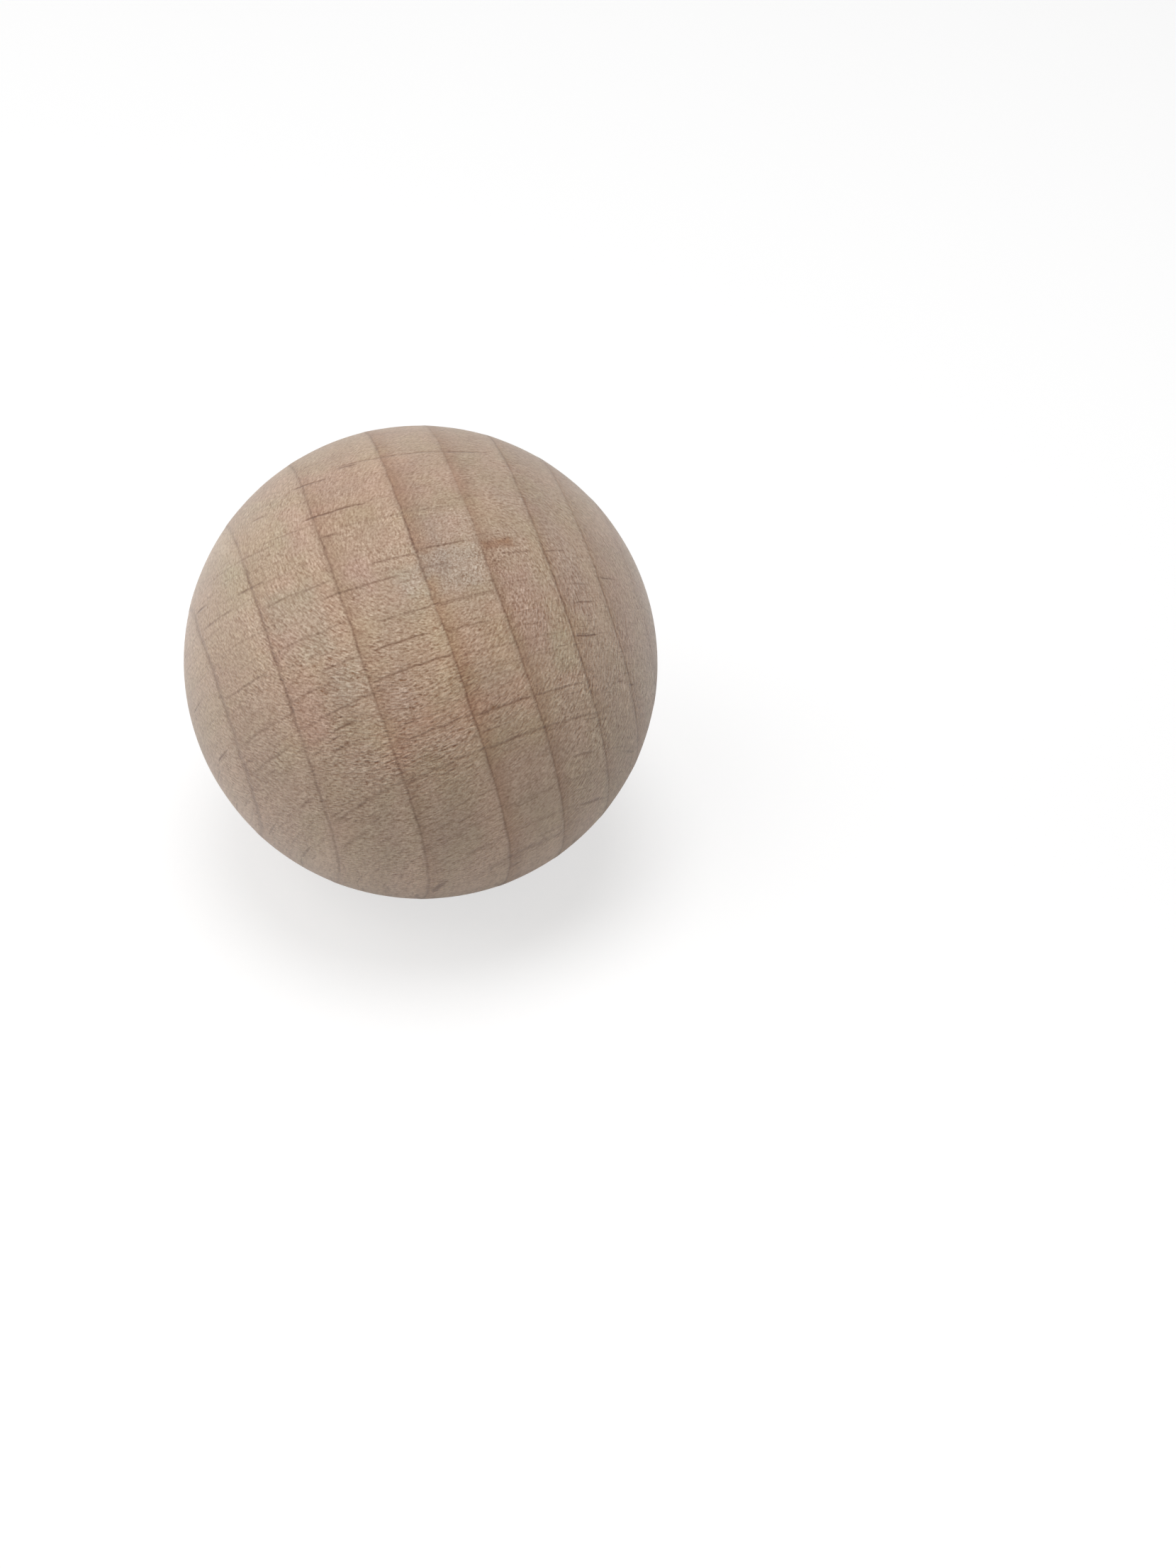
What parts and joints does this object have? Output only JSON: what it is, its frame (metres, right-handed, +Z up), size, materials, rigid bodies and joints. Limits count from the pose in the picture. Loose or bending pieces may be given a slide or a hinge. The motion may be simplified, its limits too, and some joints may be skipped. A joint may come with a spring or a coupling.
{
  "type": "wooden ball",
  "caption": "Plain solid beech ball, turned in one piece and sanded, with no hole and no flat.",
  "frame": {"origin": "centre of the ball", "axes": "+Z up, and -Y the side that is seen; the ball is the same about every axis, and only its grain tells one side from another"},
  "size_m": [0.033, 0.033, 0.033],
  "materials": {
    "beech": "bare, fine-sanded beech with no lacquer; growth rings, short rays and pores show"
  },
  "bodies": {
    "root": {"ball": "beech"}
  },
  "joints": []
}
